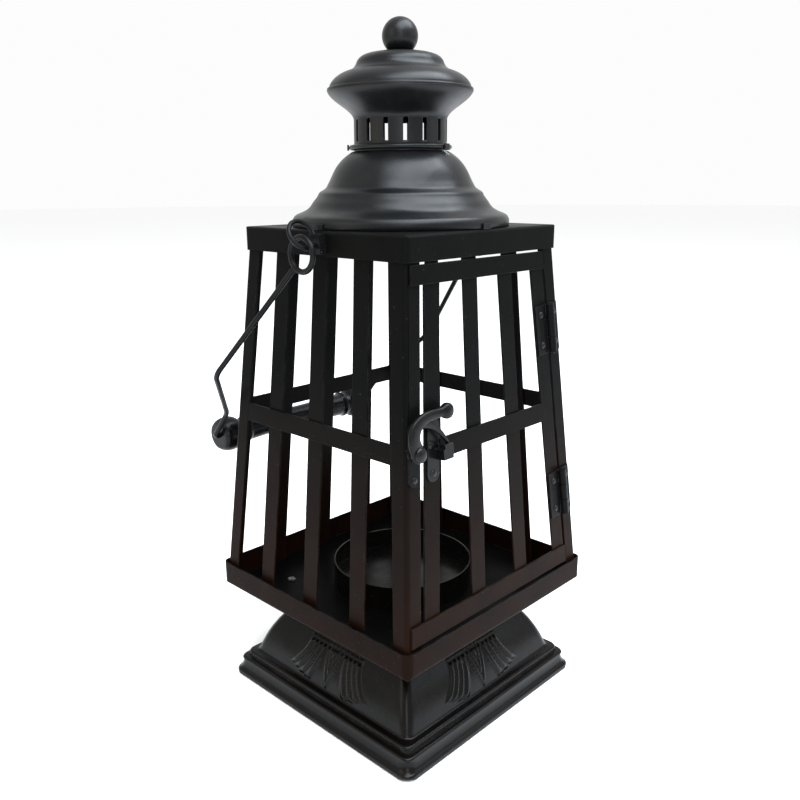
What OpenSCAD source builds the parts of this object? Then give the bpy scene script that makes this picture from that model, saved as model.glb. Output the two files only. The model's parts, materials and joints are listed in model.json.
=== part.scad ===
// Square sheet-metal candle lantern for a barn: a stepped foot, a drip tray with a
// candle cup, a tapering barred cage with a hinged and latched door, a domed chimney
// with a ventilated hood, and a wire bail with a turned grip.
// The door is on the -Y side, the bail hangs to the +Y side, +Z is up.
// The origin is the centre of the foot, on the surface that it stands on.

/* [Foot] */
// Half width of the foot across its rolled rim
foot_half = 68; // [67:0.5:69]
// Height of the foot, up to the underside of the tray
foot_h = 55.2; // [54:0.2:57]
// Half width of the neck under the tray
neck_half = 36.3; // [35.5:0.1:37.5]

/* [Tray and cup] */
// Half width of the drip tray
tray_half = 70; // [69.8:0.1:71]
// Height of the tray's rim above its underside
tray_h = 13.2; // [12:0.2:15]
// Outside radius of the candle cup
cup_r = 37.5; // [30:0.5:38]
// Height of the candle cup's wall
cup_h = 13.5; // [12:0.5:20]

/* [Cage] */
// Half width across the outside of the posts at the tray's rim
cage_half = 67.7; // [67:0.1:67.8]
// How far the posts lean in, per unit of height
splay = 0.08195; // [0.081:0.0005:0.084]
// Height from the tray's rim to the bottom edge of the top pan
cage_h = 168.4; // [166:0.2:172]
// Width of each leg of the angle posts
post_leg = 9; // [8.5:0.1:9]
// Thickness of the posts, bars and rails
strip_t = 1; // [0.9:0.05:1]
// Width of the upright bars
bar_w = 10; // [8:0.5:10]
// Height of the cross rails
rail_w = 9.3; // [8:0.1:10]

/* [Top] */
// Half width of the top pan
pan_half = 55; // [55:0.1:56]
// Depth of the top pan
pan_h = 11.4; // [11:0.2:13]
// Outside radius of the dome's bottom band
dome_r = 53.2; // [52:0.2:53.2]
// Outside radius of the ventilated collar
collar_r = 22.4; // [22:0.1:22.4]
// Number of slots around the collar
slot_count = 15; // [12:1:18]
// Radius of the hood's brim
brim_r = 34.9; // [34:0.1:36]
// Radius of the ball finial
ball_r = 8.5; // [7.5:0.5:9]

/* [Bail] */
// Radius of the bail's wire
wire_r = 1.35; // [1.2:0.05:1.35]
// Distance from the bail's pivot line to the middle of its grip
bail_reach = 142.6; // [140:0.2:146]
// Angle of the bail below horizontal as it hangs behind the lantern
bail_droop = 50; // [45:1:55]
// Half length of the grip
grip_half = 54.5; // [52:0.5:56]

/* [Hidden] */
$fn = 64;

black = [0.13, 0.13, 0.13];
dark = [0.17, 0.17, 0.16];
cool = [0.2, 0.21, 0.22];

// ---- Heights ----
sheet_t = 0.8;
foot_top_t = 1;
tray_wall = 0.9;
tray_top = foot_h + tray_wall;
rim_z = foot_h + tray_h;
pan_z = rim_z + cage_h;
pan_top = pan_z + pan_h;
pan_under = pan_top - sheet_t;
tilt = atan(splay);
edge_turn = atan(sin(tilt));

// ---- Paths, as lists of [radius or half width, height] ----
// Points along an arc from angle a0 to a1
function arc(x, y, r, a0, a1, n = 6) =
  [for (i = [0:n]) let (a = a0 + (a1 - a0) * i / n) [x + r * cos(a), y + r * sin(a)]];

// Points along a cubic curve from p to s, drawn towards q and r
function curve(p, q, r, s, n = 8) =
  [for (i = [0:n]) let (t = i / n, u = 1 - t)
    p * u * u * u + q * (3 * u * u * t) + r * (3 * u * t * t) + s * t * t * t];

// Points from p to q, bowed out to the right of the way by rise
function bow(p, q, rise, n = 10) =
  let (d = (q - p) / norm(q - p), out = [d[1], -d[0]])
  [for (i = [0:n]) let (t = i / n) p + (q - p) * t + out * rise * 4 * t * (1 - t)];

function unit(v) = v / norm(v);

// Direction of travel at point i of a path
function travel(path, i) = unit(path[min(i + 1, len(path) - 1)] - path[max(i - 1, 0)]);

// The same path, moved to the left of its way by t
function beside(path, t) =
  [for (i = [0:len(path) - 1]) let (d = travel(path, i)) path[i] + t * [-d[1], d[0]]];

function backwards(path) = [for (i = [len(path) - 1:-1:0]) path[i]];

function flipped(path) = [for (p = backwards(path)) [-p[0], p[1]]];

// A closed strip of thickness t along a path
function sheet(path, t) = concat(path, backwards(beside(path, t)));

module revolved(path, t = sheet_t) {
  rotate_extrude()
    polygon(sheet(path, t));
}

// A square solid whose four sides all follow one path, mitred at its corners
module mitred(path) {
  span = 4 * foot_half;
  outline = concat(path, flipped(path));
  intersection() {
    rotate([90, 0, 0])
      linear_extrude(height = span, center = true)
        polygon(outline);
    rotate([90, 0, 90])
      linear_extrude(height = span, center = true)
        polygon(outline);
  }
}

module rounded_square(half, r) {
  square([2 * half, 2 * (half - r)], center = true);
  square([2 * (half - r), 2 * half], center = true);
  for (sx = [-1, 1], sy = [-1, 1])
    translate([sx * (half - r), sy * (half - r)])
      circle(r);
}

module rounded_column(half, r, z0, z1) {
  translate([0, 0, z0])
    linear_extrude(height = z1 - z0)
      rounded_square(half, r);
}

// ---- Foot ----
foot_edge = foot_half - 68;
foot_rise = foot_h - 55.2;
step_x = 58.4 + foot_edge;
shoulder = [neck_half + 4.1, 44 + foot_rise];
rim_roll = arc(foot_half - 1.7, 1.7, 1.7, -90, 60);
band = curve([foot_half - 0.85, 3.17], [foot_half - 1.7, 4.2], [foot_half - 2.5, 5.6],
             [foot_half - 2.5, 8.4]);
lower_bead = arc(foot_half - 3.7, 9, 1.2, 0, 100);
upper_bead = arc(foot_half - 6.5, 12.4, 1.2, -10, 100);
groove = [[foot_half - 5.1, 10.4], [foot_half - 5.3, 11.9]];
ledge = [[foot_half - 8.4, 13.8], [foot_half - 8.8, 14.8]];
cove = curve(shoulder, [neck_half + 2.2, 46.1 + foot_rise], [neck_half + 0.2, 47.6 + foot_rise],
             [neck_half, 50.2 + foot_rise]);
foot_outside = concat(
  [[foot_half - 3.4, 0]], rim_roll, band, lower_bead, groove, upper_bead, ledge,
  bow([step_x, 15.4], shoulder, 2.3), cove, [[neck_half, foot_h]]
);
foot_inside = concat(
  [[foot_half - 3.4, -1], [foot_half - 3.4, 1], [foot_half - 2.4, 1.4], [foot_half - 3.8, 7.5],
   [foot_half - 6.4, 11], [step_x - 0.6, 14.6]],
  bow([step_x - 1, 15.6], shoulder - [1, 0], 2.3),
  curve(shoulder - [1.2, -0.6], [neck_half + 1.3, 46.1 + foot_rise],
        [neck_half - 0.9, 47.6 + foot_rise], [neck_half - 1, 50.2 + foot_rise]),
  [[neck_half - 1, foot_h - foot_top_t]]
);
screw_r = 2;

module foot_plinth() {
  color(dark)
    difference() {
      intersection() {
        mitred(foot_outside);
        rounded_column(foot_half, 5.5, -1, foot_h + 1);
      }
      mitred(foot_inside);
      cylinder(h = foot_h + 1, r = screw_r + 0.1);
    }
}

// Holds the foot to the tray, under the raised floor of the cup
module foot_screw() {
  color(cool)
    union() {
      translate([0, 0, foot_h - 6])
        cylinder(h = 6 + tray_wall + 0.5, r = screw_r);
      translate([0, 0, tray_top + 0.02])
        cylinder(h = 1.8, r = 4.5);
    }
}

module foot_nut() {
  nut_h = 3;
  color(cool)
    translate([0, 0, foot_h - foot_top_t - nut_h - 0.02])
      difference() {
        cylinder(h = nut_h, r = 4.2, $fn = 6);
        translate([0, 0, -1])
          cylinder(h = nut_h + 2, r = screw_r + 0.02);
      }
}

// ---- Tray and cup ----
module tray() {
  edge_r = 2.5;
  corner_r = 4;
  path = concat(arc(tray_half - edge_r, foot_h + edge_r, edge_r, -90, 0), [[tray_half, rim_z]]);
  color(dark)
    difference() {
      intersection() {
        mitred(path);
        rounded_column(tray_half, corner_r, foot_h - 1, rim_z + 1);
      }
      rounded_column(tray_half - tray_wall, corner_r - tray_wall, tray_top, rim_z + 1);
      translate([0, 0, foot_h - 1])
        cylinder(h = 4, r = screw_r + 0.1);
    }
}

cup_wall = 0.7;
cup_rise = 2.5;

// The cup's floor is raised over the head of the foot's screw
module candle_cup() {
  color(black)
    translate([0, 0, tray_top])
      difference() {
        cylinder(h = cup_h, r = cup_r);
        translate([0, 0, cup_rise + sheet_t])
          cylinder(h = cup_h, r = cup_r - cup_wall);
        translate([0, 0, -1])
          cylinder(h = cup_rise + 1, r = cup_r - cup_wall);
      }
}

// ---- Cage ----
// Distance up a leaning face to a given height
function up(z) = (z - rim_z) / cos(tilt);

// Half width of a face, a distance y up it
function half_at(y) = cage_half - y * sin(tilt);

// Puts its children on a face: x along it, y up it, z out of it.
// A turn of 0 is the door side, 90 the right, 180 the back and -90 the left.
module on_face(turn) {
  rotate([0, 0, turn])
    translate([0, -cage_half, rim_z])
      rotate([90 - tilt, 0, 0])
        children();
}

// An upright strip on a face, centred on share * half width + shift
module upright(share, shift, z0, z1, back, front, w = bar_w) {
  translate([0, 0, back])
    linear_extrude(height = front - back)
      polygon([for (p = [[-1, z0], [1, z0], [1, z1], [-1, z1]])
        [share * half_at(up(p[1])) + shift + p[0] * w / 2, up(p[1])]]);
}

// A level strip on a face, between insets from its left and right corner lines
module level(z0, z1, inset_left, inset_right, back, front) {
  translate([0, 0, back])
    linear_extrude(height = front - back)
      polygon([
        [inset_left - half_at(up(z0)), up(z0)],
        [half_at(up(z0)) - inset_right, up(z0)],
        [half_at(up(z1)) - inset_right, up(z1)],
        [inset_left - half_at(up(z1)), up(z1)]
      ]);
}

module between_plates() {
  intersection() {
    children();
    translate([-100, -100, tray_top])
      cube([200, 200, pan_under - tray_top]);
  }
}

// Angle section with a rounded heel at its origin
module angle_section() {
  heel_r = 2.2;
  translate([heel_r, 0])
    square([post_leg - heel_r, strip_t]);
  translate([0, heel_r])
    square([strip_t, post_leg - heel_r]);
  intersection() {
    square(heel_r);
    translate([heel_r, heel_r])
      difference() {
        circle(heel_r);
        circle(heel_r - strip_t);
      }
  }
}

module post(turn) {
  color(dark)
    between_plates()
      rotate([0, 0, turn])
        translate([-cage_half, -cage_half, rim_z])
          rotate(a = atan(splay * sqrt(2)), v = [-1, 1, 0])
            translate([0, 0, -20])
              linear_extrude(height = cage_h + 40)
                angle_section();
}

module post_front_left() {
  difference() {
    post(0);
    latch_rivet_spots()
      rivet_hole();
    pivot_spot()
      rivet_hole(pivot_r);
  }
}

module post_front_right() {
  difference() {
    post(90);
    hinge_spots(post_rivet_x)
      rivet_hole();
  }
}

module post_back_right() {
  post(180);
}

module post_back_left() {
  post(270);
}

// The bars stand inside the posts and rails
module cage_bar(turn, share) {
  color(dark)
    between_plates()
      on_face(turn)
        upright(share, 0, rim_z - 20, pan_top + 10, -2 * strip_t, -strip_t);
}

cage_rail_z = rim_z + 82;

module cage_rail(turn) {
  color(dark)
    on_face(turn)
      level(cage_rail_z, cage_rail_z + rail_w, post_leg + 0.1, post_leg + 0.1, -strip_t, 0);
}

// ---- Top ----
module top_pan() {
  edge_r = 2;
  corner_r = 3.4;
  path = concat([[pan_half, pan_z]], arc(pan_half - edge_r, pan_top - edge_r, edge_r, 0, 90));
  chimney_r = 46;
  color(dark)
    difference() {
      intersection() {
        mitred(path);
        rounded_column(pan_half, corner_r, pan_z - 1, pan_top + 1);
      }
      rounded_column(pan_half - sheet_t, corner_r - sheet_t, pan_z - 1, pan_under);
      translate([0, 0, pan_under - 1])
        cylinder(h = 4, r = chimney_r);
    }
}

// The dome's outline: a plain band, a flare, a stepped bead and a crown
dome_outside = concat(
  [[dome_r, pan_top], [dome_r, pan_top + 3.2]],
  curve([dome_r - 0.2, pan_top + 3.9], [52.2, pan_top + 6.4], [46.2, pan_top + 6.2],
        [43.8, pan_top + 10.2], 7),
  curve([43.3, pan_top + 11], [42.6, pan_top + 12.2], [41.3, pan_top + 13.2],
        [40.3, pan_top + 15], 4),
  [[39.8, pan_top + 16], [38.4, pan_top + 16.7], [37, pan_top + 17.6], [36.1, pan_top + 18.8]],
  curve([35.6, pan_top + 19.8], [33.4, pan_top + 23.2], [32.2, pan_top + 29.4],
        [24.6, pan_top + 34.2], 9),
  [[collar_r + 0.5, pan_top + 35.2]]
);

module dome() {
  color(cool)
    revolved(dome_outside);
}

module tab_ring(r, z, w, h, turns) {
  for (turn = turns)
    rotate([0, 0, turn])
      translate([r, -w / 2, z])
        cube([sheet_t, w, h]);
}

module dome_tabs() {
  color(cool)
    tab_ring(dome_r + 0.1, pan_top, 5, 2.6, [0, 90, 180, 270]);
}

ring_z = pan_top + 36.8;
ring_wire_r = 1.2;
collar_bottom = pan_top + 33;
skirt_z = pan_top + 49.3;
brim_z = pan_top + 62.5;
collar_outside = concat(
  [[collar_r, collar_bottom]],
  curve([collar_r, skirt_z], [collar_r, skirt_z + 4.7], [brim_r - 1.6, skirt_z + 8],
        [brim_r, brim_z], 10)
);

module vent_collar() {
  slot_w = 2.8;
  slot_h = 10;
  slot_turn = 14;
  slot_z = pan_top + 39.3;
  color(cool)
    difference() {
      revolved(collar_outside);
      translate([0, 0, brim_z])
        cylinder(h = 5, r = brim_r + 5);
      for (i = [0:slot_count - 1])
        rotate([0, 0, slot_turn + i * 360 / slot_count])
          translate([collar_r - 3, -slot_w / 2, slot_z])
            cube([6, slot_w, slot_h]);
    }
}

module collar_ring() {
  color(cool)
    translate([0, 0, ring_z])
      rotate_extrude()
        translate([collar_r + ring_wire_r + 0.02, 0])
          circle(ring_wire_r);
}

module collar_tabs() {
  color(cool)
    tab_ring(collar_r + 2 * ring_wire_r + 0.1, ring_z - 1.3, 4, 2.6, [-77, 29, 134]);
}

cap_top = pan_top + 79.4;
stud_r = 1.5;
cap_outside = concat(
  curve([brim_r, brim_z + 0.1], [33.2, brim_z + 3.4], [29.8, brim_z + 7.2],
        [24.4, brim_z + 8.9], 7),
  [[22.6, brim_z + 9.7], [21.6, brim_z + 10.8]],
  curve([21, brim_z + 12], [20.4, brim_z + 14.4], [17.2, cap_top - 0.2], [11, cap_top], 7),
  [[stud_r + 0.1, cap_top]]
);

// The collar's flare and the cap meet on a level seam at the brim
module hood_cap() {
  color(cool)
    difference() {
      revolved(cap_outside);
      translate([0, 0, brim_z - 5])
        cylinder(h = 5.05, r = brim_r + 5);
    }
}

ball_z = cap_top + 7.4;

module finial_ball() {
  color(cool)
    difference() {
      translate([0, 0, ball_z])
        sphere(ball_r);
      translate([-20, -20, cap_top - 40 + 0.02])
        cube([40, 40, 40]);
      translate([0, 0, cap_top - 1])
        cylinder(h = 6, r = stud_r + 0.03);
    }
}

module finial_stud() {
  color(cool)
    translate([0, 0, cap_top - 5])
      cylinder(h = 9.9, r = stud_r);
}

module finial_nut() {
  nut_h = 2.4;
  color(cool)
    translate([0, 0, cap_top - sheet_t - nut_h - 0.02])
      difference() {
        cylinder(h = nut_h, r = 3.4, $fn = 6);
        translate([0, 0, -1])
          cylinder(h = nut_h + 2, r = stud_r + 0.02);
      }
}

// ---- Rivets ----
rivet_r = 0.95;
rivet_gap = 0.05;

// A round-headed rivet along z, clamping what lies between back and front
module rivet(back, front, head_r = 1.7, head_h = 0.9) {
  tail_r = 1.4;
  tail_h = 0.5;
  color(cool)
    rotate_extrude()
      polygon(concat(
        [[0, back - tail_h], [tail_r, back - tail_h], [tail_r, back], [rivet_r, back],
         [rivet_r, front], [head_r, front]],
        [for (a = [15:15:90]) [head_r * cos(a), front + head_h * sin(a)]]
      ));
}

module rivet_hole(r = rivet_r) {
  translate([0, 0, -6])
    cylinder(h = 14, r = r + rivet_gap);
}

// ---- Door ----
// The bars lie just outside the posts' faces, and the rails on top of the bars
door_back = -0.7;
door_mid = 0.3;
door_front = 1.3;
stile_inset = 11.2;
stile_shift = stile_inset + bar_w / 2;
door_z0 = rim_z + 1.2;
door_z1 = pan_z - 1;

module door_upright(share, shift) {
  color(dark)
    on_face(0)
      upright(share, shift, door_z0 + 1, door_z1 - 1, door_back, door_mid);
}

module door_hinge_stile() {
  difference() {
    door_upright(1, -stile_shift);
    hinge_spots(-leaf_rivet_x)
      rivet_hole();
  }
}

module door_latch_stile() {
  difference() {
    door_upright(-1, stile_shift);
    catch_rivet_spots()
      rivet_hole();
  }
}

module door_bar_left() {
  door_upright(-1 / 3, stile_shift / 3);
}

module door_bar_right() {
  door_upright(1 / 3, -stile_shift / 3);
}

module door_rail(z0, z1, inset_left, inset_right) {
  color(dark)
    on_face(0)
      level(z0, z1, inset_left, inset_right, door_mid, door_front);
}

module door_top_rail() {
  door_rail(door_z1 - 8.5, door_z1, 2, stile_inset);
}

module door_mid_rail() {
  lap = bar_w - 0.8;
  door_rail(cage_rail_z + 0.4, cage_rail_z + 0.4 + rail_w, stile_inset + lap, stile_inset + lap);
}

module door_bottom_rail() {
  door_rail(door_z0, door_z0 + rail_w + 0.2, 2, stile_inset);
}

// ---- Hinges ----
// Puts its children on the leaning line at an inset from a corner of the door side
// (side is 1 for the right and -1 for the left): y runs up the line
module on_edge(side, inset) {
  on_face(0)
    translate([side * (cage_half - inset), 0, 0])
      rotate([0, 0, side * edge_turn])
        children();
}

hinge_inset = 10.1;
hinge_out = 2.2;
hinge_upper = 130;
hinge_lower = 41.9;
hinge_h = 24.8;
knuckle_h = 8;
knuckle_r = 2.1;
pin_r = 1;
leaf_t = 0.8;
post_rivet_x = 5;
leaf_rivet_x = 6.4;
hinge_rivet_y = 7.6;

// Puts its children at each hinge rivet, a distance x from the hinge line
module hinge_spots(x) {
  on_edge(1, hinge_inset)
    for (y = [hinge_upper, hinge_lower], dy = [-1, 1])
      translate([x, y + dy * hinge_rivet_y, 0])
        children();
}

module knuckle(y0, y1, r) {
  translate([0, y0, hinge_out])
    rotate([-90, 0, 0])
      cylinder(h = y1 - y0, r = r);
}

// The leaf on the posts, with the top and bottom knuckles
module post_leaf(y) {
  half = hinge_h / 2;
  color(black)
    on_edge(1, hinge_inset)
      translate([0, y, 0])
        difference() {
          union() {
            knuckle(-half, knuckle_h - half, knuckle_r);
            knuckle(half - knuckle_h, half, knuckle_r);
            translate([knuckle_r + 0.4, -half, 0])
              cube([8 - knuckle_r - 0.4, hinge_h, leaf_t]);
            translate([0, -half, 0])
              cube([4, knuckle_h, leaf_t]);
            translate([0, half - knuckle_h, 0])
              cube([4, knuckle_h, leaf_t]);
          }
          knuckle(-half - 1, half + 1, pin_r + 0.02);
          for (dy = [-1, 1])
            translate([post_rivet_x, dy * hinge_rivet_y, 0])
              rivet_hole();
        }
}

// The leaf on the door, with the middle knuckle
module door_leaf(y) {
  half = hinge_h / 2;
  mid = half - knuckle_h - 0.3;
  color(black)
    on_edge(1, hinge_inset)
      translate([0, y, 0])
        difference() {
          union() {
            knuckle(-mid, mid, knuckle_r);
            translate([-10.6, -half, door_mid])
              cube([10.6 - knuckle_r - 0.4, hinge_h, leaf_t]);
            translate([-4, -mid, door_mid])
              cube([4, 2 * mid, leaf_t]);
          }
          knuckle(-half, half, pin_r + 0.06);
          for (dy = [-1, 1])
            translate([-leaf_rivet_x, dy * hinge_rivet_y, 0])
              rivet_hole();
        }
}

module hinge_pin(y) {
  color(cool)
    on_edge(1, hinge_inset)
      translate([0, y, 0])
        knuckle(-hinge_h / 2 - 0.6, hinge_h / 2 + 0.6, pin_r);
}

module hinge_post_rivets() {
  hinge_spots(post_rivet_x)
    rivet(-strip_t - 0.15, leaf_t);
}

module hinge_door_rivets() {
  hinge_spots(-leaf_rivet_x)
    rivet(door_back, door_mid + leaf_t);
}

// ---- Catch and latch ----
latch_inset = 3.8;
latch_y = 88.2;
plate_t = 1.2;
pivot_z = rim_z + 88.4;
pivot_r = 1.9;
pivot_x = latch_inset - half_at(up(pivot_z));
boss_top = 1.7;
lever_back = 2.6;
lever_front = 4.8;
catch_inset = stile_shift;
catch_y = 87.8;
catch_w = 7.6;

module latch_rivet_spots() {
  on_edge(-1, latch_inset)
    for (dy = [-10.8, 10.8])
      translate([0, latch_y + dy, 0])
        children();
}

module pivot_spot() {
  on_face(0)
    translate([pivot_x, up(pivot_z), 0])
      children();
}

// A flat plate with round ends, centred at the origin
module oval_plate(w, h) {
  square([w, h - w], center = true);
  for (s = [-1, 1])
    translate([0, s * (h - w) / 2])
      circle(w / 2);
}

module latch_plate() {
  color(black)
    difference() {
      union() {
        on_edge(-1, latch_inset)
          translate([0, latch_y, 0])
            linear_extrude(height = plate_t)
              oval_plate(6.4, 28);
        pivot_spot()
          cylinder(h = boss_top, r = 3.6);
      }
      latch_rivet_spots()
        rivet_hole();
      pivot_spot()
        rivet_hole(pivot_r);
    }
}

module latch_plate_rivets() {
  latch_rivet_spots()
    rivet(-strip_t - 0.15, plate_t);
}

module latch_washer() {
  color(cool)
    pivot_spot()
      translate([0, 0, boss_top])
        difference() {
          cylinder(h = lever_back - boss_top - 0.1, r = 3.2);
          translate([0, 0, -1])
            cylinder(h = 3, r = pivot_r + rivet_gap);
        }
}

module latch_pivot_rivet() {
  head_r = 3.4;
  head_h = 1.7;
  color(cool)
    pivot_spot()
      rotate_extrude()
        polygon(concat(
          [[0, -strip_t - 0.9], [2.3, -strip_t - 0.9], [2.3, -strip_t - 0.2],
           [pivot_r, -strip_t - 0.2], [pivot_r, lever_front + 0.1], [head_r, lever_front + 0.1]],
          [for (a = [12:13:90]) [head_r * cos(a), lever_front + 0.3 + head_h * sin(a)]],
          [[0, lever_front + 0.3 + head_h]]
        ));
}

// The lever's outline about its pivot: a stem that splits into an arm with a round end,
// which a finger lifts, and a prong that comes down on the catch
lever_end = [18.7, 15.7];
lever_end_r = 3.6;
lever_outline = concat(
  arc(0, 0, 3.9, 375, 195, 10),
  curve([-4.3, 0.2], [-5.8, 2.4], [-6.6, 6.2], [-4.4, 10.3], 6),
  curve([-4.1, 10.9], [-1.2, 16], [4.4, 18.2], [12.4, 17.9], 8),
  [[14.8, 17.8]],
  arc(lever_end[0], lever_end[1], lever_end_r, 140, -135, 12),
  curve([14.6, 13.5], [12.4, 13.5], [10, 13.6], [8.9, 12.9], 4),
  curve([9.2, 12.3], [12.6, 10.4], [16.8, 6.4], [19.9, 0.6], 7),
  curve([18.7, 0.1], [15.5, 4.4], [12.4, 7.6], [8.6, 9.6], 6),
  curve([8, 9.9], [5.2, 11.2], [1.6, 11.4], [1, 8.6], 6),
  [[1.2, 4.4]]
);

module latch_lever() {
  color(black)
    pivot_spot()
      difference() {
        translate([0, 0, lever_back])
          linear_extrude(height = lever_front - lever_back)
            polygon(lever_outline);
        rivet_hole(pivot_r);
      }
}

module catch_rivet_spots() {
  on_edge(-1, catch_inset)
    for (p = [[0, -10.4], [0, 10.4], [-2, 2.6]])
      translate([p[0], catch_y + p[1], 0])
        children();
}

// The plate on the door, and the block with a lip that the lever's prong drops behind
module catch_plate() {
  lug_w = 6.4;
  lug_h = 4.8;
  lug_top = up(pivot_z) - 0.7;
  lug_x = pivot_x + 13.4;
  lug_back = door_front + 0.1;
  lip_back = lever_front + 0.3;
  lip_t = 1.1;
  color(black)
    difference() {
      union() {
        on_edge(-1, catch_inset)
          translate([0, catch_y, door_mid])
            linear_extrude(height = leaf_t)
              oval_plate(catch_w, 28.4);
        on_face(0) {
          translate([lug_x, lug_top - lug_h, door_mid])
            cube([2.4, lug_h, lug_back + 1 - door_mid]);
          translate([lug_x, lug_top - lug_h, lug_back])
            cube([lug_w, lug_h, lip_back + lip_t - lug_back]);
          translate([lug_x + 1, lug_top - 1, lip_back])
            cube([lug_w - 1, 3, lip_t]);
        }
      }
      catch_rivet_spots()
        rivet_hole();
    }
}

module catch_rivets() {
  catch_rivet_spots()
    rivet(door_back, door_mid + leaf_t);
}

// ---- Eyes and bail ----
eye_x = 63;
eye_r = 6.8;
eye_wire_r = 1.05;
bail_pivot_y = -3;
bail_pivot_z = pan_z + 3.9;
eye_lean = 30;
eye_gap = 62;
ring_r = 7.7;
ring_gap = 0.3;
ring_reach = ring_r - wire_r - eye_wire_r - ring_gap;
ring_lift = 15;

// A wire eye that leans, with its lowest point on the bail's pivot line. Its top is open,
// which lets the bail's ring and arm pass as they swing over.
module eye_wire(side, r = eye_wire_r) {
  eye_z = bail_pivot_z + eye_r * cos(eye_lean);
  translate([side * eye_x, bail_pivot_y + eye_r * sin(eye_lean), eye_z])
    rotate([90 - eye_lean, 0, 0])
      rotate([0, 0, 90 + eye_gap / 2])
        rotate_extrude(angle = 360 - eye_gap)
          translate([eye_r, 0])
            circle(r);
}

module eye_left() {
  color(cool)
    eye_wire(-1);
}

module eye_right() {
  color(cool)
    eye_wire(1);
}

// The straps that hold the eyes to the sides of the pan
module eye_lugs() {
  color(black)
    for (side = [-1, 1])
      difference() {
        translate([side * (pan_half + 1.8) - 1.8, -6.2, pan_z + 1.2])
          cube([3.6, 7.4, 9]);
        eye_wire(side, eye_wire_r + 0.05);
      }
}

// x across the bail, y from its pivot line towards its grip, z square to its plane
module on_bail() {
  translate([0, bail_pivot_y, bail_pivot_z])
    rotate([-bail_droop, 0, 0])
      children();
}

bend_lap = 0.25;
bend_swell = 0.03;

// Wire laid along y in steps of [length, bend radius, angle turned to the left], ending in a
// bend. A bend to the right is a mirrored bend to the left, and hand keeps count of that.
// Each bend is a hair fatter than the wire, and the straight lengths run a little into it.
module wire_run(steps, r, hand = 1, i = 0) {
  length = steps[i][0];
  bend_r = steps[i][1];
  turn = hand * steps[i][2];
  flip = turn < 0;
  back = i > 0 ? bend_lap : 0;
  translate([0, -back, 0])
    rotate([-90, 0, 0])
      cylinder(h = length + back + bend_lap, r = r);
  translate([0, length, 0])
    mirror([flip ? 1 : 0, 0, 0])
      translate([-bend_r, 0, 0]) {
        rotate_extrude(angle = abs(turn))
          translate([bend_r, 0])
            circle(r + bend_swell);
        if (i < len(steps) - 1)
          rotate([0, 0, abs(turn)])
            translate([bend_r, 0, 0])
              wire_run(steps, r, flip ? -hand : hand, i + 1);
      }
}

bail_lift = ring_reach * sin(ring_lift);
ring_y = ring_reach * cos(ring_lift);
arm_start_y = ring_y + ring_r;
elbow = [77.4, bail_reach - 62.6];
elbow_r = 12;
entry_x = grip_half + 2.7;
entry_r = 3;
elbow_turn = 30;
arm_lean = atan((elbow[0] - eye_x) / (elbow[1] - arm_start_y));
arm_length = norm([elbow[0] - eye_x, elbow[1] - arm_start_y]);
bends_in = elbow_r * (cos(arm_lean) + 1 - 2 * cos(elbow_turn));
slant = (elbow[0] - entry_x - bends_in) / sin(elbow_turn);
bends_down = elbow_r * (2 * sin(elbow_turn) + sin(arm_lean)) + slant * cos(elbow_turn) + entry_r;
drop = bail_reach - elbow[1] - bends_down;
arm_steps = [
  [arm_length, elbow_r, arm_lean + elbow_turn],
  [slant, elbow_r, -elbow_turn],
  [drop, entry_r, 90]
];

module bail_wire() {
  color(black)
    on_bail()
      translate([0, 0, bail_lift]) {
        for (side = [0, 1])
          mirror([side, 0, 0]) {
            translate([eye_x, arm_start_y, 0])
              rotate([0, 0, -arm_lean])
                wire_run(arm_steps, wire_r);
            translate([eye_x, ring_y, 0])
              rotate([0, 90, 0])
                rotate_extrude()
                  translate([ring_r, 0])
                    circle(wire_r);
          }
        translate([0, bail_reach, 0])
          rotate([0, 90, 0])
            cylinder(h = 2 * (entry_x - entry_r + bend_lap), r = wire_r, center = true);
      }
}

// The grip's outline from its middle to one end, as [radius, distance from the middle]
grip_outside = concat(
  [[0, 0], [5.9, 0]],
  curve([5.9, 2], [5.9, 14], [6.4, 24], [6.7, 35], 5),
  arc(6.6, 37.2, 1.1, -60, 60, 4),
  [[6.2, 39.2], [6.4, 41.4]],
  curve([7.2, 42.4], [10.3, 43.6], [10.6, 51.6], [7.6, grip_half - 0.2], 7),
  [[6.4, grip_half], [0, grip_half]]
);

module bail_grip() {
  color(black)
    on_bail()
      translate([0, bail_reach, bail_lift])
        difference() {
          rotate([0, 90, 0])
            rotate_extrude()
              polygon(concat(
                [for (p = grip_outside) if (p[0] > 0) p],
                [[0, grip_half], [0, -grip_half]],
                [for (p = backwards(grip_outside)) if (p[0] > 0) [p[0], -p[1]]]
              ));
          rotate([0, 90, 0])
            cylinder(h = 2 * grip_half + 2, r = wire_r + 0.1, center = true);
        }
}

foot_plinth();
foot_screw();
foot_nut();
tray();
candle_cup();
post_front_left();
post_front_right();
post_back_right();
post_back_left();
cage_bar(-90, -0.5);  // left_bar_1
cage_bar(-90, 0);  // left_bar_2
cage_bar(-90, 0.5);  // left_bar_3
cage_bar(90, -0.5);  // right_bar_1
cage_bar(90, 0);  // right_bar_2
cage_bar(90, 0.5);  // right_bar_3
cage_bar(180, -0.5);  // back_bar_1
cage_bar(180, 0);  // back_bar_2
cage_bar(180, 0.5);  // back_bar_3
cage_rail(-90);  // left_rail
cage_rail(90);  // right_rail
cage_rail(180);  // back_rail
top_pan();
dome();
dome_tabs();
vent_collar();
collar_ring();
collar_tabs();
hood_cap();
finial_ball();
finial_stud();
finial_nut();
door_hinge_stile();
door_latch_stile();
door_bar_left();
door_bar_right();
door_top_rail();
door_mid_rail();
door_bottom_rail();
door_leaf(hinge_upper);  // hinge_door_leaf_upper
door_leaf(hinge_lower);  // hinge_door_leaf_lower
hinge_door_rivets();
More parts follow.
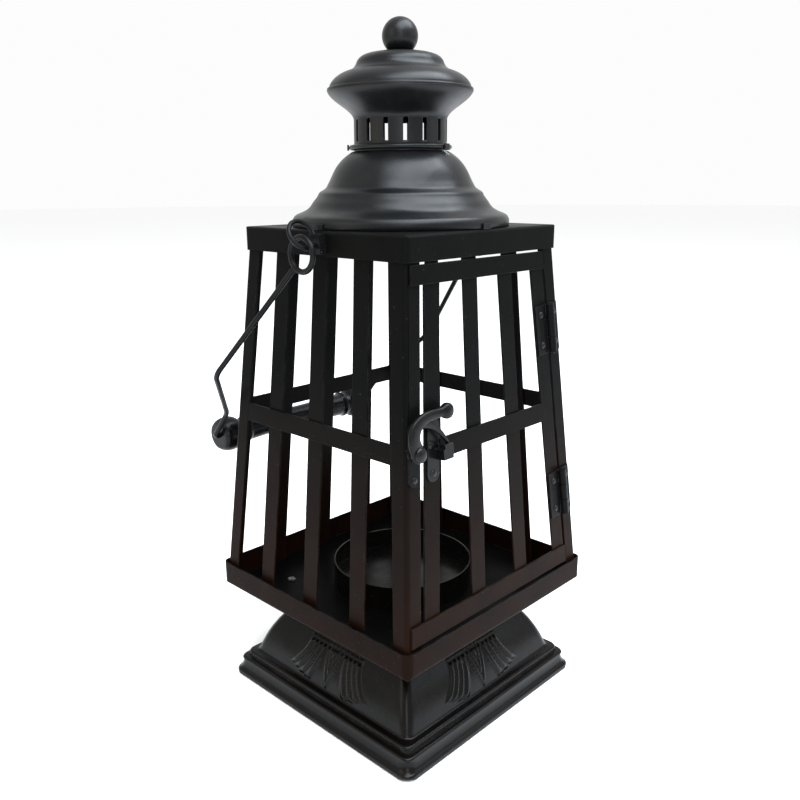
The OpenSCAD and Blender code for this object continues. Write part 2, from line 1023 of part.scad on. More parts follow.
post_leaf(hinge_upper);  // hinge_post_leaf_upper
post_leaf(hinge_lower);  // hinge_post_leaf_lower
hinge_post_rivets();
hinge_pin(hinge_upper);  // hinge_pin_upper
hinge_pin(hinge_lower);  // hinge_pin_lower
catch_plate();
catch_rivets();
latch_plate();
latch_plate_rivets();
latch_washer();
latch_pivot_rivet();
latch_lever();
eye_left();
eye_right();
eye_lugs();
bail_wire();
bail_grip();
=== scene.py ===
"""Looks of a square sheet-metal candle lantern: satin black paint over pressed, spun and bent
sheet, with a relief foot, a spun dome and hood, a cast hook latch and a wire bail."""
import json
import math

import bmesh
import bpy
from mathutils import Matrix, Vector, noise


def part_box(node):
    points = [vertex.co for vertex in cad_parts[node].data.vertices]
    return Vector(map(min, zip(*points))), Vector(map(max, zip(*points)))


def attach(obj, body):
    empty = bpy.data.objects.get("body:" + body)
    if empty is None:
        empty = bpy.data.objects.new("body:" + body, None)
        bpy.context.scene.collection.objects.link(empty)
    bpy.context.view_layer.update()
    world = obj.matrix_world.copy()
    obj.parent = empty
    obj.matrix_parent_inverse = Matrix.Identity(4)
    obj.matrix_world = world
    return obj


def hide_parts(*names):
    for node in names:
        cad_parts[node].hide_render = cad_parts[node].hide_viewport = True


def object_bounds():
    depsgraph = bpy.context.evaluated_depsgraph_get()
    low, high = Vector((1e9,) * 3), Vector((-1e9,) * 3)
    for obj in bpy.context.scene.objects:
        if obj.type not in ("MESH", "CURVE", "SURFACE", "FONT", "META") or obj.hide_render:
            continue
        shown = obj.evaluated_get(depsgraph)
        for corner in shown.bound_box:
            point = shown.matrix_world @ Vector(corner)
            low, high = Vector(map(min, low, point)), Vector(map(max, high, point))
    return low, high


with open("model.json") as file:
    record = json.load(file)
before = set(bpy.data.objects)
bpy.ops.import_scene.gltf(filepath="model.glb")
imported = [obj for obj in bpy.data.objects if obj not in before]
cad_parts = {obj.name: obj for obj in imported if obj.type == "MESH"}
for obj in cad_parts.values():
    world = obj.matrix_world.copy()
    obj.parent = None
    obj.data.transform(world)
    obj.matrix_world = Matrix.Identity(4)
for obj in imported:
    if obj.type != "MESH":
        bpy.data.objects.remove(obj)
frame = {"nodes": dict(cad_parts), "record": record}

CAD_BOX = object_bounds()
MM = 0.001


# ---- Camera, lights and floor ----
CAMERA_PLACE = Vector((-0.30059, -0.28821, 0.26983))
CAMERA_TURN = math.radians(46.08)
CAMERA_DOWN = math.radians(14.96)
CAMERA_ROLL = math.radians(-0.3)
CAMERA_LENS = 37.04


def add_object(name, data):
    obj = bpy.data.objects.new(name, data)
    bpy.context.scene.collection.objects.link(obj)
    return obj


def make_camera():
    level = Vector((math.sin(CAMERA_TURN), math.cos(CAMERA_TURN), 0))
    forward = level * math.cos(CAMERA_DOWN) - Vector((0, 0, math.sin(CAMERA_DOWN)))
    side = forward.cross(Vector((0, 0, 1))).normalized()
    top = side.cross(forward)
    right = side * math.cos(CAMERA_ROLL) + top * math.sin(CAMERA_ROLL)
    up = right.cross(forward)
    camera = add_object("camera", bpy.data.cameras.new("camera"))
    camera.data.lens = CAMERA_LENS
    camera.data.clip_start = 0.01
    camera.matrix_world = Matrix((
        (right.x, up.x, -forward.x, CAMERA_PLACE.x),
        (right.y, up.y, -forward.y, CAMERA_PLACE.y),
        (right.z, up.z, -forward.z, CAMERA_PLACE.z),
        (0, 0, 0, 1)))
    bpy.context.scene.camera = camera


def area_light(name, place, aim, width, depth, watts, colour):
    light = bpy.data.lights.new(name, "AREA")
    light.shape = "RECTANGLE"
    light.size = width
    light.size_y = depth
    light.energy = watts
    light.color = colour
    obj = add_object(name, light)
    obj.location = place
    obj.rotation_euler = (Vector(aim) - Vector(place)).to_track_quat("-Z", "Y").to_euler()
    return obj


def make_lights():
    middle = (0, 0, 0.2)
    area_light("window_above", (0.05, -0.45, 1.25), middle, 1.7, 0.8, 52, (0.84, 0.92, 1.0))
    area_light("fill_left", (-1.3, 0.35, 0.75), middle, 0.7, 0.9, 4, (1.0, 0.86, 0.66))
    area_light("fill_right", (0.9, -1.2, 0.6), middle, 0.5, 0.5, 1.5, (0.8, 0.9, 1.0))
    area_light("softbox_front", (-1.05, -1.15, 0.7), middle, 0.3, 0.9, 5, (0.9, 0.95, 1.0))
    world = bpy.data.worlds.new("studio")
    world.use_nodes = True
    shade = world.node_tree.nodes["Background"]
    shade.inputs["Color"].default_value = (1.0, 1.0, 1.0, 1)
    shade.inputs["Strength"].default_value = 0.98
    bpy.context.scene.world = world
    bpy.context.scene.view_settings.view_transform = "Standard"


def make_floor():
    mesh = bpy.data.meshes.new("floor")
    work = bmesh.new()
    bmesh.ops.create_circle(work, cap_ends=True, segments=96, radius=9)
    work.to_mesh(mesh)
    work.free()
    floor = add_object("floor", mesh)
    floor.location.z = CAD_BOX[0].z - 0.0004
    paint = bpy.data.materials.new("pale_floor")
    paint.use_nodes = True
    shader = paint.node_tree.nodes["Principled BSDF"]
    shader.inputs["Base Color"].default_value = (0.96, 0.96, 0.96, 1)
    shader.inputs["Roughness"].default_value = 0.9
    shader.inputs["Specular IOR Level"].default_value = 0.1
    mesh.materials.append(paint)


# ---- Materials ----
class Nodes:
    """A material's node tree, with short ways to add nodes and join them."""

    def __init__(self, name):
        self.material = bpy.data.materials.new(name)
        self.material.use_nodes = True
        self.tree = self.material.node_tree
        self.shader = self.tree.nodes["Principled BSDF"]
        self.place = self.add("ShaderNodeTexCoord").outputs["Object"]

    def add(self, kind, **settings):
        node = self.tree.nodes.new(kind)
        for key, value in settings.items():
            setattr(node, key, value)
        return node

    def feed(self, socket, value):
        if isinstance(value, bpy.types.NodeSocket):
            self.tree.links.new(value, socket)
        else:
            socket.default_value = value

    def noise(self, scale, detail=3.0, rough=0.5):
        node = self.add("ShaderNodeTexNoise")
        self.feed(node.inputs["Vector"], self.place)
        node.inputs["Scale"].default_value = scale
        node.inputs["Detail"].default_value = detail
        node.inputs["Roughness"].default_value = rough
        return node.outputs["Fac"]

    def span(self, value, low, high, to_low=0.0, to_high=1.0):
        """value from low..high, laid on to_low..to_high and clamped."""
        node = self.add("ShaderNodeMapRange")
        for socket, given in zip(node.inputs, (value, low, high, to_low, to_high)):
            self.feed(socket, given)
        return node.outputs["Result"]

    def maths(self, operation, a, b):
        node = self.add("ShaderNodeMath", operation=operation, use_clamp=True)
        self.feed(node.inputs[0], a)
        self.feed(node.inputs[1], b)
        return node.outputs[0]

    def mix(self, share, a, b):
        node = self.add("ShaderNodeMix", data_type="RGBA")
        self.feed(node.inputs["Factor"], share)
        self.feed(node.inputs[6], a)
        self.feed(node.inputs[7], b)
        return node.outputs[2]

    def height(self):
        split = self.add("ShaderNodeSeparateXYZ")
        self.feed(split.inputs[0], self.place)
        return split.outputs["Z"]

    def specks(self, scale, size, amount):
        """Scattered dots: 1 inside a dot. amount is the share of cells that hold one."""
        cells = self.add("ShaderNodeTexVoronoi")
        self.feed(cells.inputs["Vector"], self.place)
        cells.inputs["Scale"].default_value = scale
        dot = self.span(cells.outputs["Distance"], size, size * 0.6)
        pick = self.add("ShaderNodeSeparateColor")
        self.feed(pick.inputs[0], cells.outputs["Color"])
        chosen = self.span(pick.outputs[0], 1 - amount, 1 - amount + 0.01)
        return self.maths("MULTIPLY", dot, chosen)

    def edges(self, radius):
        """1 on a sharp edge and 0 on a flat face."""
        soft = self.add("ShaderNodeBevel", samples=4)
        soft.inputs["Radius"].default_value = radius
        flat = self.add("ShaderNodeNewGeometry")
        turned = self.add("ShaderNodeVectorMath", operation="DOT_PRODUCT")
        self.feed(turned.inputs[0], soft.outputs["Normal"])
        self.feed(turned.inputs[1], flat.outputs["Normal"])
        return self.span(turned.outputs["Value"], 0.985, 0.86)

    def bumps(self, *layers):
        """Layers of (height, depth in metres, strength), one on the other."""
        below = None
        for height, depth, strength in layers:
            node = self.add("ShaderNodeBump")
            node.inputs["Strength"].default_value = strength
            node.inputs["Distance"].default_value = depth
            self.feed(node.inputs["Height"], height)
            if below:
                self.feed(node.inputs["Normal"], below)
            below = node.outputs["Normal"]
        self.feed(self.shader.inputs["Normal"], below)


def black_paint(name, base, tint, rough, grain, dust, gloss=0.22, brown_reflection_top=None, wear=0.5,
                reflection_on_walls_only=False):
    """Satin black paint: base colour drifting to tint, orange peel of size grain, dust specks,
    rubbed edges, and a painted brown reflection of a warm floor low on the lantern, where
    brown_reflection_top gives its top. With reflection_on_walls_only the painted reflection keeps off
    level faces."""
    n = Nodes(name)
    drift = n.span(n.noise(26, 4, 0.6), 0.38, 0.66)
    colour = n.mix(drift, (*base, 1), (*tint, 1))
    if brown_reflection_top:
        # Painted reflection: a brown tint low on the lantern stands in for a warm floor mirrored in
        # the paint.
        brown_reflection = n.span(n.height(), brown_reflection_top, brown_reflection_top * 0.35)
        # Only walls get the painted reflection; level faces are kept out of it.
        if reflection_on_walls_only:
            facing = n.add("ShaderNodeSeparateXYZ")
            n.feed(facing.inputs[0], n.add("ShaderNodeNewGeometry").outputs["Normal"])
            brown_reflection = n.maths("MULTIPLY", brown_reflection, n.span(facing.outputs["Z"], 0.6, 0.3))
        patchy_reflection = n.maths("MULTIPLY", brown_reflection, n.span(n.noise(40, 3), 0.25, 0.6, 0.55, 1.0))
        # The brown of the painted floor reflection, mixed into the paint colour.
        colour = n.mix(patchy_reflection, colour, (0.0085, 0.003, 0.0013, 1))
    scuffs = n.span(n.noise(210, 5, 0.7), 0.62, 0.78)
    rubbed = n.maths("MULTIPLY", n.edges(0.0006), n.span(n.noise(120, 3), 0.42, 0.62))
    rubbed = n.maths("MULTIPLY", rubbed, wear)
    colour = n.mix(rubbed, colour, (0.032, 0.03, 0.029, 1))
    specks = n.maths("ADD", n.specks(520, 0.12, dust), n.specks(1300, 0.17, dust * 1.6))
    colour = n.mix(n.maths("MULTIPLY", specks, 0.75), colour, (0.1, 0.097, 0.09, 1))
    n.feed(n.shader.inputs["Base Color"], colour)
    uneven = n.span(n.noise(70, 5, 0.65), 0.3, 0.72, rough - 0.06, rough + 0.08)
    uneven = n.maths("ADD", uneven, n.maths("MULTIPLY", scuffs, 0.1))
    n.feed(n.shader.inputs["Roughness"], n.maths("ADD", uneven, n.maths("MULTIPLY", specks, 0.4)))
    n.shader.inputs["Specular IOR Level"].default_value = gloss
    n.bumps((n.noise(grain, 2, 0.5), 0.00006, 0.5),
            (n.noise(60, 2, 0.5), 0.0006, 0.12),
            (specks, 0.0002, 0.5))
    return n.material


def bare_solder():
    """Grey, dull, lumpy solder with darker flux in its hollows."""
    n = Nodes("bare_solder")
    hollows = n.span(n.noise(700, 5, 0.7), 0.4, 0.62)
    n.feed(n.shader.inputs["Base Color"], n.mix(hollows, (0.03, 0.032, 0.03, 1), (0.2, 0.21, 0.2, 1)))
    n.feed(n.shader.inputs["Roughness"], n.span(hollows, 0, 1, 0.6, 0.38))
    n.shader.inputs["Metallic"].default_value = 0.6
    n.bumps((n.noise(1500, 4, 0.6), 0.0002, 0.6))
    return n.material


PAINTS = {
    "base_black": black_paint("base_paint", (0.0018, 0.0015, 0.0013), (0.0029, 0.0023, 0.0018),
                              0.24, 900, 0.02, gloss=0.12),
    # Cage paint: the brown towards the bottom, up to 0.17 m, is a painted reflection of a warm floor.
    "cage_black": black_paint("cage_paint", (0.0018, 0.0018, 0.0017), (0.0026, 0.0025, 0.0023),
                              0.4, 1100, 0.02, gloss=0.028, brown_reflection_top=0.17),
    "hood_black": black_paint("hood_paint", (0.0021, 0.0024, 0.0028), (0.0033, 0.0036, 0.0039),
                              0.34, 1000, 0.006, gloss=0.2),
    "wire_black": black_paint("wire_paint", (0.0024, 0.0024, 0.0025), (0.0038, 0.0038, 0.0039),
                              0.34, 1600, 0.01, gloss=0.1),
    "grip_black": black_paint("grip_paint", (0.0021, 0.0022, 0.0024), (0.0034, 0.0034, 0.0038),
                              0.28, 700, 0.01, gloss=0.12),
    "iron_black": black_paint("iron_paint", (0.0024, 0.0024, 0.0024), (0.0040, 0.0040, 0.0040),
                              0.3, 420, 0.02, gloss=0.12, wear=0.8),
    "fastener_black": black_paint("fastener_paint", (0.0029, 0.0029, 0.0030), (0.0050, 0.0050, 0.0050),
                                  0.3, 1500, 0.02, gloss=0.16, wear=0.9),
}
# Tray paint: the brown on its walls below 0.12 m is a painted reflection of a warm floor; its level
# floor stays black.
TRAY_PAINT = black_paint("tray_paint", (0.0012, 0.0012, 0.0012), (0.0018, 0.0017, 0.0016),
                         0.36, 900, 0.03, gloss=0.02, brown_reflection_top=0.12, reflection_on_walls_only=True)
LEAF_PAINT = black_paint("leaf_paint", (0.0018, 0.0018, 0.0018), (0.0025, 0.0025, 0.0025),
                         0.4, 900, 0.02, gloss=0.05)
SOLDER = bare_solder()


# ---- Mesh helpers ----
def finish_mesh(mesh, sharp=35):
    mesh.shade_smooth()
    mesh.set_sharp_from_angle(angle=math.radians(sharp))


def add_piece(name, mesh, body, slot, replaced=(), paint=None, sharp=35):
    finish_mesh(mesh, sharp)
    mesh.materials.append(paint or PAINTS[slot])
    piece = add_object(name, mesh)
    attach(piece, body)
    if replaced:
        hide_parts(*replaced)
    return piece


def thicken(piece, thickness, edge=0.0):
    """Sheet metal: the surface grows inwards, and its rims are eased by edge."""
    solid = piece.modifiers.new("thickness", "SOLIDIFY")
    solid.thickness = thickness
    solid.offset = -1
    solid.use_even_offset = True
    if edge:
        ease_edges(piece, edge)


def ease_edges(piece, width, segments=2):
    bevel = piece.modifiers.new("eased_edges", "BEVEL")
    bevel.width = width
    bevel.segments = segments
    bevel.limit_method = "ANGLE"
    bevel.angle_limit = math.radians(50)
    bevel.harden_normals = False


def arc(x, y, r, start, end, steps=10):
    turns = [math.radians(start + (end - start) * i / steps) for i in range(steps + 1)]
    return [(x + r * math.cos(a), y + r * math.sin(a)) for a in turns]


def curve(p, q, r, s, steps=18):
    """Points on a cubic curve from p to s, drawn towards q and r."""
    found = []
    for i in range(steps + 1):
        t = i / steps
        u = 1 - t
        weights = (u ** 3, 3 * u * u * t, 3 * u * t * t, t ** 3)
        found.append(tuple(sum(w * c[k] for w, c in zip(weights, (p, q, r, s))) for k in (0, 1)))
    return found


def bow(p, q, rise, steps):
    """Points from p to q, bowed out to the right of the way by rise."""
    way = Vector(q) - Vector(p)
    out = Vector((way.y, -way.x)).normalized()
    points = [Vector(p) + way * t + out * rise * 4 * t * (1 - t)
              for t in (i / steps for i in range(steps + 1))]
    return [tuple(point) for point in points]


def loft(name, rings, closed=True, skip=None):
    """A skin over equal rings of points. skip(row, column) leaves a face out."""
    work = bmesh.new()
    grid = [[work.verts.new(point) for point in ring] for ring in rings]
    count = len(rings[0])
    for row in range(len(rings) - 1):
        for column in range(count if closed else count - 1):
            if skip and skip(row, column):
                continue
            after = (column + 1) % count
            work.faces.new((grid[row][column], grid[row][after],
                            grid[row + 1][after], grid[row + 1][column]))
    bmesh.ops.delete(work, geom=[v for v in work.verts if not v.link_faces], context="VERTS")
    mesh = bpy.data.meshes.new(name)
    work.to_mesh(mesh)
    work.free()
    return mesh


def lathe_rings(profile, base_z, columns, wobble=0.0):
    """Rings of points about the Z axis, for a profile of (radius, height) in millimetres.
    wobble is how far the spun sheet strays from round, in millimetres."""
    rings = []
    for radius, height in profile:
        ring = []
        for i in range(columns):
            turn = math.tau * i / columns
            way = Vector((math.cos(turn), math.sin(turn), 0))
            stray = wobble * noise.noise(way * 2.2 + Vector((0, 0, height * 0.09)))
            ring.append(way * (radius - abs(stray)) * MM + Vector((0, 0, base_z + height * MM)))
        rings.append(ring)
    return rings


# ---- Foot ----
FOOT_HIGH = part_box("foot_plinth")[1]
FOOT_HALF = FOOT_HIGH.x / MM
FOOT_H = FOOT_HIGH.z / MM
NECK_HALF = 36.3
BODY_FOOT = (58.4, 15.4)
BODY_HEAD = (NECK_HALF + 4.1, 44.0)
FAN_TOP = 33.4
FAN_BOTTOM = 16.2
FAN_HALF_TOP = 19.5
FAN_FLARE = 13.0
FLUTES = 4
LEAF_HALF = 6.4
RELIEF = 1.25


def foot_profile():
    """(half width, height, corner radius) from the rolled rim up to the neck, in millimetres."""
    edge = FOOT_HALF
    lower = [(edge - 3.4, 0)] + arc(edge - 1.7, 1.7, 1.7, -90, 60)
    lower += curve((edge - 0.85, 3.17), (edge - 1.7, 4.2), (edge - 2.5, 5.6), (edge - 2.5, 8.4), 8)
    beads = arc(edge - 3.7, 9, 1.2, 0, 100, 8)
    beads += [(edge - 5.1, 10.4), (edge - 5.3, 11.4)]
    beads += arc(edge - 6.5, 12.4, 1.2, -10, 100, 8)
    beads += [(edge - 8.2, 13.7), (edge - 9.0, 14.0), (edge - 9.4, 14.6)]
    body = bow(BODY_FOOT, BODY_HEAD, 2.3, 84)
    cove = curve(BODY_HEAD, (NECK_HALF + 2.2, 46.1), (NECK_HALF + 0.2, 47.6), (NECK_HALF, 50.2), 10)
    neck = [(NECK_HALF, FOOT_H - 0.05)]
    rows = [(w, z, 5.5) for w, z in lower]
    rows += [(w, z, 4.4) for w, z in beads]
    rows += [(w, z, 5.0 - 1.6 * i / len(body)) for i, (w, z) in enumerate(body)]
    rows += [(w, z, 3.4) for w, z in cove[1:] + neck]
    return rows


def bump_between(share, power=0.75):
    """A rounded rib over share 0..1, flat at both ends."""
    return math.sin(math.pi * min(max(share, 0), 1)) ** power


def fan_relief(along, height):
    """How far the pressed fan stands out at a place on a foot face, in millimetres."""
    down = (FAN_TOP - height) / (FAN_TOP - FAN_BOTTOM)
    if not -0.12 < down < 1.25:
        return 0.0
    side = abs(along)
    fall = max(down, 0)
    leaf = LEAF_HALF * (1 - fall * 0.93) ** 0.8 if fall < 1.07 else 0
    inner = LEAF_HALF + 5.0 * fall ** 1.4
    outer = FAN_HALF_TOP + FAN_FLARE * fall ** 1.7
    spread = (side - inner) / (outer - inner) * FLUTES
    rise = 0.0
    if 0 <= spread <= FLUTES:
        flute = int(min(spread, FLUTES - 0.001))
        end = 1.08 - 0.07 * flute
        taper = min(1, max(0, (end - down) / 0.16)) ** 0.6
        rise = RELIEF * bump_between(spread - flute) * taper
    elif side < leaf:
        nested = (leaf - side) / 2.2
        rise = 0.85 * RELIEF * bump_between(nested % 1.0, 0.9)
    shoulder = min(1, max(0, (down + 0.12) / 0.14))
    step = FAN_HALF_TOP / 6
    to_pit = math.hypot(side % step - step / 2, (height - FAN_TOP - 0.2) * 1.1)
    pit = 0.75 * max(0, 1 - (to_pit / 1.25) ** 2) if side < FAN_HALF_TOP else 0
    return rise * shoulder - pit


def square_ring(half, height, corner, columns, corner_steps, relief):
    """A ring round a square with round corners, pushed out on its faces by relief(along, z)."""
    ring = []
    reach = half - corner
    for face in range(4):
        turn = Matrix.Rotation(math.pi / 2 * face, 3, "Z")
        for i in range(columns + 1):
            along = reach * (2 * i / columns - 1)
            ring.append(turn @ Vector((along, -half - relief(along, height), height)) * MM)
        for i in range(1, corner_steps):
            angle = math.radians(-90 + 90 * i / corner_steps)
            ring.append(turn @ Vector((reach + corner * math.cos(angle),
                                       -reach + corner * math.sin(angle), height)) * MM)
    return ring


def make_foot():
    rows = foot_profile()
    relief_rows = {i for i, (w, z, r) in enumerate(rows) if BODY_FOOT[1] < z < BODY_HEAD[1]}
    rings = [square_ring(w, z, r, 150, 8, fan_relief if i in relief_rows else lambda a, z: 0)
             for i, (w, z, r) in enumerate(rows)]
    mesh = loft("foot_shell", rings)
    shell = add_piece("foot_shell", mesh, "frame", "base_black", ["foot_plinth"], sharp=60)
    thicken(shell, 0.9 * MM)
    top = bpy.data.meshes.new("foot_top")
    work = bmesh.new()
    outline = square_ring(NECK_HALF - 0.1, FOOT_H - 0.05, 3.4, 2, 8, lambda a, z: 0)
    face = work.faces.new([work.verts.new(p) for p in outline])
    pushed = bmesh.ops.extrude_face_region(work, geom=[face])
    lowered = [v for v in pushed["geom"] if isinstance(v, bmesh.types.BMVert)]
    bmesh.ops.translate(work, verts=lowered, vec=(0, 0, -0.9 * MM))
    bmesh.ops.recalc_face_normals(work, faces=work.faces)
    work.to_mesh(top)
    work.free()
    add_piece("foot_top", top, "frame", "base_black")


# ---- Spun top ----
PAN_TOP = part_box("top_pan")[1].z
DOME_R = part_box("dome")[1].x / MM
COLLAR_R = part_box("collar_ring")[1].x / MM - 2.42
BRIM_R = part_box("hood_cap")[1].x / MM
SHEET = 0.8
SKIRT_Z = 49.3
BRIM_Z = 62.5
CAP_TOP = 79.4
BRIM_ROLL = 0.55
SLOTS = 15
SLOT_LOW = 39.3
SLOT_HIGH = 49.3
COLUMNS_PER_SLOT = 24
SLOT_COLUMNS = range(11, 17)


def dome_profile():
    rows = [(DOME_R - 0.2, 0.1), (DOME_R, 0.5), (DOME_R, 2.9), (DOME_R - 0.15, 3.5)]
    rows += curve((DOME_R - 0.5, 4.0), (52.2, 6.4), (46.2, 6.2), (43.8, 10.2), 22)[1:]
    rows += curve((43.4, 10.8), (42.6, 12.2), (41.3, 13.2), (40.5, 14.8), 10)
    rows += curve((40.2, 15.5), (39.6, 16.6), (37.0, 17.2), (36.1, 18.8), 10)
    rows += curve((35.6, 19.8), (33.4, 23.2), (32.2, 29.4), (24.6, 34.2), 26)
    rows += [(COLLAR_R + 0.9, 34.9), (COLLAR_R + 0.2, 34.7)]
    return rows


def hood_profile():
    rows = arc(BRIM_R - BRIM_ROLL, BRIM_Z + BRIM_ROLL, BRIM_ROLL, -80, 110, 8)
    rows += curve((BRIM_R - 0.9, BRIM_Z + 1.25), (33.6, BRIM_Z + 4.0), (29.8, BRIM_Z + 7.4),
                  (24.6, BRIM_Z + 8.8), 22)
    rows += curve((24.0, BRIM_Z + 9.0), (22.6, BRIM_Z + 9.7), (21.8, BRIM_Z + 10.4),
                  (21.2, BRIM_Z + 11.6), 8)
    rows += curve((20.9, BRIM_Z + 12.3), (20.2, BRIM_Z + 14.8), (17.2, CAP_TOP - 0.2),
                  (11, CAP_TOP), 20)
    rows += [(7.5, CAP_TOP), (2, CAP_TOP)]
    return rows


def collar_profile():
    rows = [(COLLAR_R, 33 + 16.3 * i / 18) for i in range(19)]
    rows += curve((COLLAR_R, SKIRT_Z), (COLLAR_R, SKIRT_Z + 4.7), (BRIM_R - 1.6, SKIRT_Z + 8),
                  (BRIM_R, BRIM_Z), 26)[1:]
    return rows


def make_top():
    dome = add_piece("dome_shell", loft("dome_shell", lathe_rings(dome_profile(), PAN_TOP, 240, 0.25)),
                     "frame", "hood_black", ["dome"], sharp=60)
    thicken(dome, SHEET * MM)
    hood = add_piece("hood_shell", loft("hood_shell", lathe_rings(hood_profile(), PAN_TOP, 192, 0.2)),
                     "frame", "hood_black", ["hood_cap"], sharp=60)
    thicken(hood, SHEET * MM)
    profile = collar_profile()
    columns = SLOTS * COLUMNS_PER_SLOT
    slot_rows = [i for i, (r, z) in enumerate(profile) if SLOT_LOW < z + 0.5 and z < SLOT_HIGH - 0.5]

    def in_slot(row, column):
        return row in slot_rows and column % COLUMNS_PER_SLOT in SLOT_COLUMNS

    collar = add_piece("collar_shell",
                       loft("collar_shell", lathe_rings(profile, PAN_TOP, columns), skip=in_slot),
                       "frame", "hood_black", ["vent_collar"], sharp=60)
    thicken(collar, SHEET * MM)


# ---- Eyes, latch lever and solder ----
JOINTS = {row["name"]: row for row in frame["record"]["behaviour"]["joints"]}
EYE_R = 6.8
EYE_WIRE_R = 1.05
EYE_STEPS = 72
EYE_LEAN = math.radians(30)
THINNEST = 0.02


def oval(centre, side, across, half, depth, steps=20, fullness=0.75):
    """A ring round centre, between a circle and a rounded bar as fullness falls."""
    ring = []
    for i in range(steps):
        turn = math.tau * i / steps
        c, s = math.cos(turn), math.sin(turn)
        ring.append(centre + side * half * math.copysign(abs(c) ** fullness, c)
                    + across * depth * math.copysign(abs(s) ** fullness, s))
    return ring


def make_eyes():
    pivot = Vector(JOINTS["bail_swing"]["pos_m"])
    rise = Vector((0, math.sin(EYE_LEAN), math.cos(EYE_LEAN)))
    across = Vector((0, math.cos(EYE_LEAN), -math.sin(EYE_LEAN)))
    for name in ("eye_left", "eye_right"):
        low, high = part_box(name)
        centre = Vector(((low.x + high.x) / 2, pivot.y, pivot.z)) + rise * EYE_R * MM
        rings = []
        for i in range(EYE_STEPS + 1):
            turn = math.tau * i / EYE_STEPS
            way = Vector((1, 0, 0)) * math.cos(turn) + rise * math.sin(turn)
            rings.append(oval(centre + way * EYE_R * MM, way, across, EYE_WIRE_R * MM,
                              EYE_WIRE_R * MM, 14, 1))
        add_piece(name + "_ring", loft(name, rings), "frame", "wire_black", [name], sharp=80)


def limb(name, rows, place):
    """A cast bar. Each row is x, y, half width, half depth and how far it stands forward."""
    rings = []
    for i, (x, y, half, depth, stand) in enumerate(rows):
        before, after = rows[max(i - 1, 0)], rows[min(i + 1, len(rows) - 1)]
        way = Vector((after[0] - before[0], after[1] - before[1], 0)).normalized()
        side = Vector((-way.y, way.x, 0))
        ring = oval(Vector((x, y, stand)), side, Vector((0, 0, 1)), half, depth)
        rings.append([place @ (point * MM) for point in ring])
    return loft(name, rings)


def catmull_rom(p, q, r, s, t):
    """The value t of the way from q to r, on a smooth run of p, q, r and s."""
    bend = (2 * p - 5 * q + 4 * r - s) * t * t
    return 0.5 * (2 * q + (r - p) * t + bend + (3 * q - p - 3 * r + s) * t ** 3)


def smooth_rows(rows, steps=5):
    """A limb's rows with more between them. Widths and depths stay above THINNEST."""
    found = []
    last = len(rows) - 1
    for i in range(last):
        near = [rows[min(max(i + k, 0), last)] for k in (-1, 0, 1, 2)]
        for step in range(steps):
            row = [catmull_rom(*values, step / steps) for values in zip(*near)]
            row[2] = max(row[2], THINNEST)
            row[3] = max(row[3], THINNEST)
            found.append(tuple(row))
    return found + [rows[-1]]


def make_lever():
    joint = JOINTS["latch_pivot"]
    out = Vector(joint["axis"])
    right = Vector((1, 0, 0))
    rise = out.cross(right).normalized()
    turn = Matrix((right, rise, out)).transposed().to_4x4()
    place = Matrix.Translation(Vector(joint["pos_m"])) @ turn
    arm = [(0.2, -3.95, 0.05, 0.05, 0), (0.1, -3.6, 1.6, 0.7, 0), (0, -2.6, 2.9, 1.05, 0),
           (0, -1.2, 3.7, 1.15, 0), (-0.2, 0.4, 3.9, 1.15, 0), (-1.3, 2.7, 3.7, 1.25, 0.05),
           (-2.2, 5.4, 3.4, 1.4, 0.15), (-2.1, 8.6, 3.15, 1.5, 0.2), (-0.9, 11.5, 3.05, 1.5, 0.2),
           (1.9, 13.7, 2.8, 1.5, 0.2), (5.5, 15.0, 2.6, 1.45, 0.2), (9, 15.5, 2.45, 1.4, 0.3),
           (12.4, 15.7, 2.2, 1.4, 0.5), (14.9, 15.75, 2.2, 1.6, 0.7), (16.4, 15.7, 3.0, 2.0, 0.8),
           (17.6, 15.7, 3.5, 2.35, 0.8), (18.9, 15.7, 3.6, 2.4, 0.8), (20.3, 15.7, 3.2, 2.2, 0.8),
           (21.5, 15.7, 2.2, 1.6, 0.8), (22.15, 15.7, 1.1, 0.8, 0.8), (22.3, 15.7, 0.05, 0.05, 0.8)]
    prong = [(0.4, 12.2, 0.05, 0.05, 0), (1.2, 12.4, 1.6, 0.9, 0), (3.2, 12.8, 2.0, 1.2, 0),
             (5.8, 12.5, 2.1, 1.25, 0), (8.8, 11.2, 1.8, 1.2, 0), (11.5, 9.3, 1.5, 1.1, 0),
             (14.2, 6.9, 1.2, 1.05, 0), (16.9, 3.85, 0.95, 0.95, 0), (18.9, 1.0, 0.75, 0.8, 0),
             (19.4, 0.3, 0.45, 0.5, 0), (19.5, 0.15, 0.05, 0.05, 0)]
    for name, rows, gone in (("lever_arm", arm, ["latch_lever"]), ("lever_prong", prong, ())):
        add_piece(name, limb(name, smooth_rows(rows), place), "latch_lever", "iron_black", gone,
                  sharp=80)


def solder_run(name, start, end, size, seed):
    """A lumpy bead of solder from start to end. size is its half width, in millimetres."""
    start, end = Vector(start), Vector(end)
    middle, way = (start + end) / 2, (end - start) / 2
    work = bmesh.new()
    bmesh.ops.create_icosphere(work, subdivisions=4, radius=1)
    for vert in work.verts:
        lump = 1 + 0.35 * noise.noise(vert.co * 1.9 + Vector((seed, 0, 0)))
        lump += 0.12 * noise.noise(vert.co * 6 + Vector((0, seed, 0)))
        spread = vert.co * lump * size * MM
        vert.co = middle + spread + way * vert.co.dot(way.normalized())
    mesh = bpy.data.meshes.new(name)
    work.to_mesh(mesh)
    work.free()
    add_piece(name, mesh, "frame", "cage_black", paint=SOLDER, sharp=80)


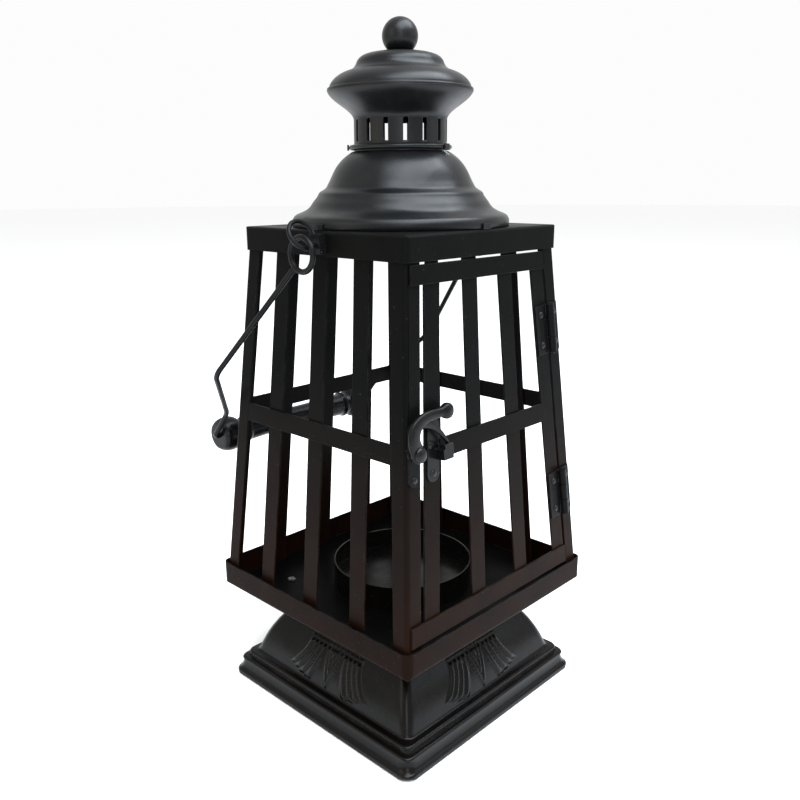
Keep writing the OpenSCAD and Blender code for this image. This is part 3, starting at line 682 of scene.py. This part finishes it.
def make_solder():
    """One bead beside the foot of each post, and two where the collar's ring is joined."""
    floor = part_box("candle_cup")[0].z
    low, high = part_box("post_front_left")
    solder_run("solder_front", (high.x + 0.0005, high.y - 0.003, floor + 0.0006),
               (high.x + 0.0035, high.y - 0.003, floor + 0.001), 1.7, 3.0)
    for i, turn in enumerate((-82, -75)):
        way = Vector((math.cos(math.radians(turn)), math.sin(math.radians(turn)), 0))
        at = way * (COLLAR_R + 2.6) * MM + Vector((0, 0, PAN_TOP + (34.4 - i * 1.2) * MM))
        solder_run("solder_collar_%d" % i, at, at + way * 0.0012 - Vector((0, 0, 0.001)),
                   1.0 - 0.25 * i, 31.0 + i)
    for i, corner in enumerate(("post_front_right", "post_back_left", "post_back_right")):
        low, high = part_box(corner)
        x = low.x if low.x + high.x > 0 else high.x
        y = low.y if low.y + high.y > 0 else high.y
        solder_run("solder_" + corner, (x, y, floor + 0.0004), (x * 0.97, y * 0.97, floor + 0.0004),
                   1.3, 11.0 + 7 * i)


make_camera()
make_lights()
make_floor()
make_foot()
make_top()
make_eyes()
make_lever()
make_solder()


# ---- CAD pieces: paint, and eased edges on the cut sheet ----
OWN_PAINTS = {"tray": TRAY_PAINT}
OWN_PAINTS.update({name: LEAF_PAINT for name in frame["nodes"]
                   if "leaf" in name or name == "latch_plate"})


def dress_frame():
    slots = {row["node"]: row["material_slot"] for row in frame["record"]["subparts"]}
    eased = {"post": 0.25, "bar": 0.22, "rail": 0.22, "stile": 0.22, "door": 0.22,
             "catch": 0.25, "latch_plate": 0.3, "leaf": 0.15, "tray": 0.3, "top_pan": 0.2}
    for name, obj in frame["nodes"].items():
        for slot in obj.material_slots:
            slot.material = OWN_PAINTS.get(name, PAINTS[slots[name]])
        if obj.hide_render:
            continue
        widths = [width for word, width in eased.items() if word in name]
        if widths and "rivet" not in name:
            weld = obj.modifiers.new("joined", "WELD")
            weld.merge_threshold = 0.00001
            ease_edges(obj, widths[0] * MM)
            flat = obj.modifiers.new("flat_faces", "WEIGHTED_NORMAL")
            flat.keep_sharp = True


dress_frame()
